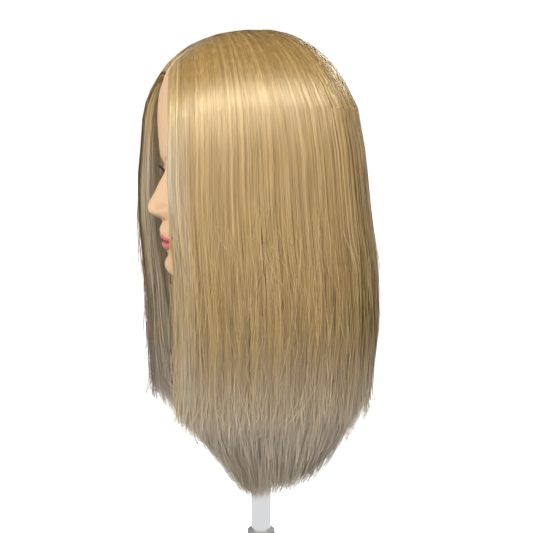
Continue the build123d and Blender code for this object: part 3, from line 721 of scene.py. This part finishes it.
def stripPiece(name, strands, side, material, tilting=0.3, leaning=0.2, seed=1,
               bothSides=False, towards=None):  # towards turns every strand's face one way
    spread = np.random.default_rng(seed)
    path = strands["path"]
    if not bothSides:
        path[:, :, 0] = np.maximum(path[:, :, 0], 0.4)
        flare = np.interp(path[:, :, 2], *zip(*hair["flare"][side]))
        path[:, :, 1] -= flare * ramp(path[:, :, 1], -72, -104)
    number, points = path.shape[:2]
    along = unit(np.gradient(path, axis=1))
    across = unit(np.cross(along, hairFacing(path) if towards is None else np.array(towards)))
    facing = np.cross(across, along)
    s = np.linspace(0, 1, points)
    taper = (0.6 + 0.4 * ramp(s, 0, 0.15)) * (1 - 0.8 * ramp(s, 0.7, 1.0))
    tilt = spread.normal(0, tilting, number)[:, None, None]
    halfWidth = (strands["width"][:, None] * taper / 2)[:, :, None]
    edge = (across * np.cos(tilt) + facing * np.sin(tilt)) * halfWidth
    columns = np.stack([path - edge, path + edge], axis=1)
    columns[:, :, :, 0] *= side
    piece = strandMesh(name, columns, material)
    if side < 0:
        piece.data.flip_normals()
    # strands share the soft sheen of the whole surface, each leaning a little its own way
    lean = spread.normal(0, leaning, number)[:, None, None]
    normals = facing * np.cos(lean) + across * np.sin(lean)
    normals[:, :, 0] *= side
    normals = np.repeat(normals, 2, axis=0).transpose(1, 0, 2).reshape(-1, 3)
    piece.data.update()
    piece.data.normals_split_custom_set_from_vertices(normals)
    height = columns[:, :, :, 2].transpose(2, 0, 1).ravel()
    greyAndPaleLight = strands.get("greyedAndPaleLit", 0) + spread.normal(0, 0.12, number)
    tone, deep, ashAndPaleLight = (np.tile(np.repeat(values, 2), points)
                       for values in (strands["tone"], strands["depth"], greyAndPaleLight))
    addNumber(piece.data, "tone", tone)
    # ash-grey towards the ends and a little greyer at the back, with painted light paling the curtain's edge,
    # all as one mix towards grey
    addNumber(piece.data, "ashAndPaleLight", np.clip(ramp(height, 320, 170) * 0.9 + ashAndPaleLight * ramp(height, 540, 440), 0, 1))
    addNumber(piece.data, "deep", np.clip(deep, 0, 1))
    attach(piece, "head")
    print(name, "strands", number)
    return piece


hairPanels = {"Front": (0, 58), "Side": (58, 118), "Back": (118, 180)}


def panelTurns(first, last, number, spread):  # evenly spaced round the rim, with a little disorder
    low = max(np.interp(first, rimAngle, rimDistance), np.interp(curtainTurn, turnTable, rimDistance))
    high = np.interp(last, rimAngle, rimDistance)
    return np.interp(spread.uniform(low, high, number), rimDistance, turnTable)


def makeStrands(label, seed, number, width, depths, loose, wander=1.0, starts=None, toneShift=0.0):
    first, last = hairPanels[label] if label else (0, 180)
    spread = np.random.default_rng(seed)
    lockCount = hair["locksPerPanel"] * (1 if label else 3)
    lockTurns = np.sort(panelTurns(first, last, lockCount, spread))
    lockTone = spread.normal(0, 0.09, lockCount)
    turn = panelTurns(first, last, number, spread)
    depth = depths[0] + (depths[1] - depths[0]) * spread.uniform(0, 1, number) ** depths[2]
    lock = np.clip(np.searchsorted(lockTurns, turn), 0, lockCount - 1)
    limit = 1 + loose * (spread.exponential(1, number) - 0.8)
    tips = tipHeights(turn, depth, limit) + spread.exponential(9, number) - 5
    tips += spread.exponential(14, number) * ramp(tips, 170, 120)  # thin out towards the lowest ends
    rows = [] if starts else combDome(spread, turn, depth)
    startHeight = spread.uniform(*starts, number) if starts else np.full(number, float(hair["rimHeight"]))
    tips = np.minimum(tips, startHeight - 30)
    rows += combDrop(spread, turn, depth, lock, tips, startHeight, wander, hair["dropPoints"])
    tone = np.clip(0.5 + toneShift + lockTone[lock] + spread.normal(0, 0.11, number), 0, 1)
    # painted light: the curtain's edge is painted paler and greyer for the light that shows through the hair
    # there, and the back is a little greyer
    edge = ramp(turn, curtainTurn + hair["edgeReach"], curtainTurn)
    tone = np.clip(tone + 0.22 * edge, 0, 1)
    greyedAndPaleLit = 0.65 * edge + 0.35 * ramp(turn, 2.35, 2.9)
    return {"path": np.stack(rows, axis=1), "width": width * spread.uniform(0.7, 1.3, number), "tone": tone,
            "depth": depth, "greyedAndPaleLit": greyedAndPaleLit, "turn": turn}


hairPaint = {
    "dark": (0.125, 0.066, 0.016), "mid": (0.222, 0.133, 0.039), "light": (0.41, 0.28, 0.112),
    "ashAndPaleLight": (0.44, 0.395, 0.335), "shadow": (0.20, 0.13, 0.06), "sheen": (1, 0.87, 0.62),
    "ashAndPaleLightMix": 0.85, "shadowMix": 0.35,
}


def makeHairMaterial():
    material, tree, shader = newMaterial("blondeHair")
    tones = addNode(tree, "ValToRGB")
    ramping = tones.color_ramp
    ramping.elements[0].color = (*hairPaint["dark"], 1)
    ramping.elements[1].color = (*hairPaint["light"], 1)
    ramping.elements.new(0.5).color = (*hairPaint["mid"], 1)
    streak = noiseOf(tree, 60, 3, (5, 5, 0.25))
    level = compute(tree, "ADD", readNumber(tree, "tone"), compute(tree, "MULTIPLY_ADD", streak, 0.5, -0.25))
    tree.links.new(level, tones.inputs["Fac"])
    # the grey mix: ash-grey ends and back, and painted light paling the curtain's edge
    ashAndPaleLight = compute(tree, "MULTIPLY", readNumber(tree, "ashAndPaleLight"), hairPaint["ashAndPaleLightMix"])
    deep = compute(tree, "MULTIPLY", readNumber(tree, "deep"), hairPaint["shadowMix"])
    colour = mixColours(tree, ashAndPaleLight, tones.outputs["Color"], hairPaint["ashAndPaleLight"])
    colour = mixColours(tree, deep, colour, hairPaint["shadow"])
    tree.links.new(colour, shader.inputs["Base Color"])
    setInputs(shader, Roughness=0.36, IOR=1.6, Specular_IOR_Level=1.0, Specular_Tint=(*hairPaint["sheen"], 1))
    return material


hairMaterial = makeHairMaterial()
for index, label in enumerate(hairPanels):
    for side, word in ((1, "Left"), (-1, "Right")):
        seed = 20 * index + side + 5
        strands = makeStrands(label, seed, hair["strandsPerPanel"], hair["strandWidth"], (0, 0.3, 1.4), 0.07)
        panel = stripPiece(f"hair{word}{label}", strands, side, hairMaterial, seed=seed)
        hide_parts(f"hair_{word.lower()}_{label.lower()}")
hairPanels["Edge"] = (0, 34)
inwards = (-0.6, -0.8, 0)  # the inner strands catch the light that comes in at the opening
for side, word in ((1, "Left"), (-1, "Right")):
    cards = makeStrands(None, 101 + side, hair["cardsPerPanel"] * 3, hair["cardWidth"], (0.35, 0.6, 1),
                        0.02, 0.5, toneShift=-0.1)
    cards["width"] = np.where(cards["turn"] < curtainTurn + 0.25, hair["endWidth"], cards["width"])
    stripPiece(f"hairLiner{word}", cards, side, hairMaterial, 0.05, 0.3, 111 + side)
    ends = makeStrands(None, 121 + side, hair["endStrands"] * 3, hair["endWidth"], (0.2, 1.0, 0.8),
                       0.1, 1.2, (300, 430))
    ends["depth"] = ends["depth"] * 0.35
    stripPiece(f"hairEnds{word}", ends, side, hairMaterial, 0.4, 0.4, 131 + side)
    # painted light: the inner strands are painted lighter and greyer for the light that shows through the hair,
    # and carry no painted shade
    inner = makeStrands("Front", 141 + side, hair["innerStrands"], hair["endWidth"], (0.32, 1.05, 0.9),
                        0.05, toneShift=0.35)
    inner["depth"], inner["greyedAndPaleLit"] = inner["depth"] * 0, inner["greyedAndPaleLit"] * 0.6 + 0.35
    stripPiece(f"hairInner{word}", inner, side, hairMaterial, 0.3, 0.3, 151 + side, towards=inwards)
    # painted light: the edge strands are painted lighter, and carry no painted shade
    edge = makeStrands("Edge", 161 + side, hair["edgeStrands"], hair["strandWidth"], (-0.03, 0.9, 1),
                       0.06, toneShift=0.3)
    edge["depth"] = edge["depth"] * 0
    stripPiece(f"hairEdge{word}", edge, side, hairMaterial, 0.3, 0.3, 171 + side,
               towards=inwards if side < 0 else None)
print("hair panels ready")


# Loose hairs over the panels, and the underlayer at the nape

looseHair = {
    "number": 1700, "points": 28, "width": 0.36, "startLow": 170, "startHigh": 430,
    "shortest": 35, "longest": 120, "waveHeight": 2.0, "waveLength": (13, 30), "proud": 0.3,
    # the share that starts at the curtain's edge, and how far tips fall below the rest: a few fly off further
    "edgeShare": 0.12, "drop": 5, "flyShare": 0.2, "flyDrop": 26,
    "napeNumber": 2600, "napeWidth": 0.7, "napePoints": 9,
    # height, front, back, half width of the nape's outer surface
    "napeLevels": [(180, -40, 46, 36), (250, -78, 78, 71), (300, -81, 81, 71), (340, -76, 76, 68),
                   (362, -97, 69, 62.5), (390, -98, 77, 67.5)],
}


def makeLoose(word, side, seed):
    spread = np.random.default_rng(seed)
    number, points = looseHair["number"], looseHair["points"]
    turn = panelTurns(0, 180, number, spread)
    edge = spread.uniform(0, 1, number)
    atEdge = edge < looseHair["edgeShare"]
    turn = np.where(atEdge, curtainTurn + spread.exponential(0.05, number), turn)
    lowStart, highStart = looseHair["startLow"], looseHair["startHigh"]
    start = spread.uniform(0, 1, number) ** 0.8 * (highStart - lowStart) + lowStart
    length = spread.uniform(looseHair["shortest"], looseHair["longest"], number)
    proud = -looseHair["proud"] * spread.uniform(0, 1, number) ** 2
    drift, wave = spread.normal(0, 0.08, number), spread.uniform(*looseHair["waveLength"], number)
    phase = spread.uniform(0, 2 * np.pi, number)
    swing = looseHair["waveHeight"] * spread.uniform(0.2, 1, number)
    lowest = tipHeights(turn, np.zeros(number), 1.08 + 0.05 * spread.uniform(0, 1, number))
    drop = np.minimum(spread.exponential(1, number), 2)
    fliesOff = (turn > 2.1) * (spread.uniform(0, 1, number) < looseHair["flyShare"])
    lowest -= drop * np.where(fliesOff, looseHair["flyDrop"], looseHair["drop"])
    start = np.maximum(start, lowest + looseHair["shortest"])
    tips = np.maximum(start - length, lowest)
    rows = []
    for share in np.linspace(0, 1, points):
        z = start + (tips - start) * share
        x, y = hangPlace(turn + drift * share, proud * (0.25 + share), z)
        radius = np.hypot(x, y + 5)
        outX, outY = x / radius, (y + 5) / radius
        along = swing * np.sin(phase + z / wave * 2) * (0.3 + share)
        outward = 0.6 * swing * np.sin(1.7 * phase + z / wave * 1.6) * share
        x, y = x + outX * outward - outY * along, y + outY * outward + outX * along
        rows.append(np.stack([x, y, z], axis=1))
    tone = np.clip(spread.normal(0.95, 0.2, number), 0, 1)
    width = looseHair["width"] * spread.uniform(0.6, 1.2, number)
    strands = {"path": np.stack(rows, axis=1), "width": width, "tone": tone, "depth": np.zeros(number)}
    stripPiece(f"looseHair{word}", strands, side, hairMaterial, 0.6, 0.5, seed)


def makeNape():
    spread = np.random.default_rng(401)
    number = looseHair["napeNumber"]
    turn = spread.uniform(1.8, 2 * np.pi - 1.8, number)
    start = spread.uniform(352, 388, number)
    tips = 196 - 14 * np.cos(turn) * spread.uniform(0, 1, number) + spread.exponential(16, number)
    depth = spread.uniform(0, 1, number)
    lean, phase = spread.normal(0, 0.03, number), spread.uniform(0, 2 * np.pi, number)
    rows = []
    for share in np.linspace(0, 1, looseHair["napePoints"]):
        z = start + (tips - start) * share
        x, y = outlinePoint(looseHair["napeLevels"], turn + lean * share, z, 2.1)
        inward = 1 - 0.085 * depth * ramp(z, 352, 320)
        sway = 1.6 * np.sin(phase + z / 30) * share
        rows.append(np.stack([x * inward + sway, y * inward + sway * 0.5, z], axis=1))
    width = looseHair["napeWidth"] * spread.uniform(0.7, 1.3, number)
    tone = np.clip(spread.normal(0.4, 0.14, number), 0, 1)
    strands = {"path": np.stack(rows, axis=1), "width": width, "tone": tone, "depth": depth * 0.6 + 0.3}
    piece = stripPiece("hairNape", strands, 1, hairMaterial, 0.4, 0.4, 402, bothSides=True)
    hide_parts("hair_nape")


makeLoose("Left", 1, 301)
makeLoose("Right", -1, 302)
makeNape()
print("loose hair and nape ready")


# Eyelashes: tapered hairs along the lid edges

lashes = {
    "number": 60, "length": 7.5, "lowerNumber": 30, "lowerLength": 4, "thickness": 0.5, "points": 7,
    "fan": 0.75, "colour": (0.018, 0.012, 0.009),
}


def lashRows(number, length, edgeIndex, seed):
    spread = np.random.default_rng(seed)
    ax = head["eyeAcross"] + head["eyeHalf"] * np.sort(spread.uniform(-0.86, 0.97, number))
    along, upper, lower = eyeEdges(ax)
    z = upper + 0.2 if edgeIndex == 0 else lower - 0.1
    reach = np.hypot(ax - head["eyeAcross"], z - head["eyeHeight"])
    radius = head["eyeRadius"]
    y = head["eyeFront"] + radius - np.sqrt(radius**2 - reach**2) - head["lidThickness"] - 0.1
    size = length * spread.uniform(0.75, 1.1, number)
    size = size * (0.72 + 0.28 * ramp(along, -1, 0.5)) * ramp(1 - along**6, -0.4, 0.4)
    fan = along * lashes["fan"] + spread.normal(0, 0.09, number)
    rows = []
    for share in np.linspace(0, 1, lashes["points"]):
        forward = size * (share - 0.28 * share**2)
        rise = size * (0.78 * share**2 - 0.16 * share) * (1 if edgeIndex == 0 else -0.9)
        rows.append(np.stack([ax + forward * np.sin(fan), y - forward * np.cos(fan) * 0.92, z + rise], axis=1))
    return np.stack(rows, axis=1)


def makeLashes(word, side, material, seed):
    path = np.concatenate([lashRows(lashes["number"], lashes["length"], 0, seed),
                           lashRows(lashes["lowerNumber"], lashes["lowerLength"], 1, seed + 1)])
    along = unit(np.gradient(path, axis=1))
    first = unit(np.cross(along, np.array([1.0, 0, 0])))
    second = np.cross(along, first)
    thick = (lashes["thickness"] * (1 - 0.86 * np.linspace(0, 1, lashes["points"]) ** 1.5) / 2)[None, :, None]
    corners = [path + thick * (first * math.cos(turn) + second * math.sin(turn))
               for turn in (0, 2.094, 4.189, 0)]
    columns = np.stack(corners, axis=1)
    columns[:, :, :, 0] *= side
    piece = strandMesh(f"lashes{word}", columns, material)
    shape = bmesh.new()
    shape.from_mesh(piece.data)
    bmesh.ops.remove_doubles(shape, verts=shape.verts, dist=0.00001)
    bmesh.ops.holes_fill(shape, edges=shape.edges, sides=3)
    bmesh.ops.recalc_face_normals(shape, faces=shape.faces)
    shape.to_mesh(piece.data)
    shape.free()
    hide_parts(f"{word.lower()}_eyelashes")
    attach(piece, "head")


def makeLashMaterial():
    material, tree, shader = newMaterial("lashHair")
    lighter = tuple(2.4 * part for part in lashes["colour"])
    brown = mixColours(tree, noiseOf(tree, 300, 2), lashes["colour"], lighter)
    tree.links.new(brown, shader.inputs["Base Color"])
    setInputs(shader, Roughness=0.42)
    return material


lashMaterial = makeLashMaterial()
makeLashes("Left", 1, lashMaterial, 501)
makeLashes("Right", -1, lashMaterial, 501)
print("eyelashes ready")


# Clamp screw: a rolled thread between a plain nose and the hub for the T-bar

clampScrew = {
    # radius and height down the outside, from the nose to the foot of the hub
    "profile": [(0, -56), (5, -56), (5, -60.4), (4, -60.4), (4, -63.5), (4.9, -63.5), (5.1, -64.5),
                (5.1, -159.5), (7.8, -160.2), (8.4, -161), (8.4, -175), (7.6, -176), (0, -176)],
    "pitch": 3, "threadTop": -68, "threadBottom": -156, "rootRadius": 4.9, "crestRadius": 6,
    "stepsPerTurn": 20, "segments": 48,
}


def profileLine(shape, places):  # a line through radius and height pairs, to be spun round the screw's axis
    verts = [bmesh.ops.create_vert(shape, co=(radius * mm, 0, z * mm))["vert"][0] for radius, z in places]
    return verts, [shape.edges.new(pair) for pair in zip(verts, verts[1:])]


def makeClampScrew(material):
    shape = bmesh.new()
    verts, edges = profileLine(shape, clampScrew["profile"])
    bmesh.ops.spin(shape, geom=verts + edges, cent=(0, 0, 0), axis=(0, 0, 1), dvec=(0, 0, 0),
                   angle=2 * math.pi, steps=clampScrew["segments"], use_merge=True)
    bmesh.ops.remove_doubles(shape, verts=shape.verts, dist=0.00001)
    # the thread's ridge climbs round the core
    pitch, steps = clampScrew["pitch"], clampScrew["stepsPerTurn"]
    turns = (clampScrew["threadTop"] - clampScrew["threadBottom"]) / pitch
    root, crest, foot = clampScrew["rootRadius"], clampScrew["crestRadius"], clampScrew["threadBottom"]
    ridge = [(root, foot), (crest, foot + pitch * 0.38), (crest, foot + pitch * 0.5),
             (root, foot + pitch * 0.9)]
    corners, sides = profileLine(shape, ridge)
    bmesh.ops.spin(shape, geom=corners + sides, cent=(0, 0, 0), axis=(0, 0, 1), dvec=(0, 0, pitch * mm / steps),
                   angle=2 * math.pi * turns, steps=round(turns * steps), use_merge=False)
    bmesh.ops.recalc_face_normals(shape, faces=shape.faces)
    for edge in shape.edges:
        edge.smooth = not (len(edge.link_faces) == 2 and edge.calc_face_angle(0) > 0.5)
    piece = newPiece("clampScrewThreaded", shape, material)
    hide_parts("clamp_screw")
    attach(piece, "screw")


# Finishes of the holder, the neck base and everything under the hair

finishes = {
    # colour, second colour, metallic, roughness from and to, grain across and along, bump height in metres
    "cast_frame": ((0.19, 0.195, 0.20), (0.27, 0.275, 0.28), 0.55, (0.42, 0.62), 750, (1, 1, 1), 0.00025),
    "black_rubber": ((0.016, 0.016, 0.017), (0.035, 0.034, 0.033), 0, (0.72, 0.9), 1400, (1, 1, 1), 0.00012),
    "brass_bush": ((0.62, 0.43, 0.17), (0.48, 0.31, 0.11), 1, (0.22, 0.4), 120, (1, 1, 14), 0.00003),
    "zinc_steel": ((0.62, 0.63, 0.64), (0.46, 0.47, 0.49), 1, (0.26, 0.44), 160, (1, 1, 1), 0.00003),
    "nylon_washer": ((0.72, 0.71, 0.66), (0.62, 0.60, 0.53), 0, (0.38, 0.52), 260, (1, 1, 1), 0.00004),
    "knob_plastic": ((0.020, 0.020, 0.022), (0.034, 0.034, 0.036), 0, (0.38, 0.55), 1600, (1, 1, 1), 0.00010),
    "chrome_tube": ((0.93, 0.935, 0.94), (0.87, 0.875, 0.885), 1, (0.09, 0.17), 46, (1, 1, 0.25), 0.00001),
    "black_steel": ((0.03, 0.03, 0.032), (0.07, 0.068, 0.066), 0.7, (0.34, 0.5), 420, (1, 1, 1), 0.00003),
    "turned_steel": ((0.50, 0.51, 0.53), (0.36, 0.365, 0.38), 1, (0.24, 0.4), 90, (1, 1, 16), 0.00003),
    "black_plastic": ((0.024, 0.024, 0.026), (0.04, 0.04, 0.042), 0, (0.42, 0.6), 900, (1, 1, 1), 0.00012),
    "foam": ((0.70, 0.58, 0.36), (0.50, 0.39, 0.21), 0, (0.85, 0.98), 620, (1, 1, 1), 0.0008),
}
nodeFinishes = {
    "cast_frame": ("clamp_frame", "post_knuckle"),
    "black_rubber": ("jaw_rubber", "grip_rings", "pad_rubber"),
    "brass_bush": ("thread_bush", "knob_nut"),
    "zinc_steel": ("tilt_bolt", "spigot_washer", "base_screws", "swivel_pad"),
    "nylon_washer": ("tilt_washers", "friction_disc"),
    "knob_plastic": ("tilt_knob", "t_bar_caps"),
    "chrome_tube": ("post_tube", "t_bar"),
    "black_steel": ("post_set_screws", "spigot_screw"),
    "turned_steel": ("top_plug",),
    "black_plastic": ("swivel_spigot", "neck_socket", "base_plate"),
}


def makeFinish(name):
    colour, second, metallic, (smoothest, roughest), grain, stretch, height = finishes[name]
    material, tree, shader = newMaterial(name)
    fine = noiseOf(tree, grain, 4, stretch)
    cloud = noiseOf(tree, 38, 3)
    mottled = mixColours(tree, compute(tree, "MULTIPLY_ADD", cloud, 1.6, -0.3), colour, second)
    halfFine = compute(tree, "MULTIPLY", fine, 0.5)
    tree.links.new(mixColours(tree, halfFine, mottled, second), shader.inputs["Base Color"])
    gloss = setInputs(addNode(tree, "MapRange"), From_Min=0.3, From_Max=0.7, To_Min=smoothest, To_Max=roughest)
    blend = compute(tree, "MULTIPLY_ADD", fine, 0.5, compute(tree, "MULTIPLY", cloud, 0.5))
    tree.links.new(blend, gloss.inputs["Value"])
    tree.links.new(gloss.outputs["Result"], shader.inputs["Roughness"])
    setInputs(shader, Metallic=metallic)
    addBump(tree, shader, fine, 0.6, height)
    return material


finishMaterials = {name: makeFinish(name) for name in finishes}
makeClampScrew(finishMaterials["turned_steel"])
makeCore(finishMaterials["foam"])
for finish, names in nodeFinishes.items():
    for name in names:
        nodes[name].data.materials.clear()
        nodes[name].data.materials.append(finishMaterials[finish])
print("holder finished")
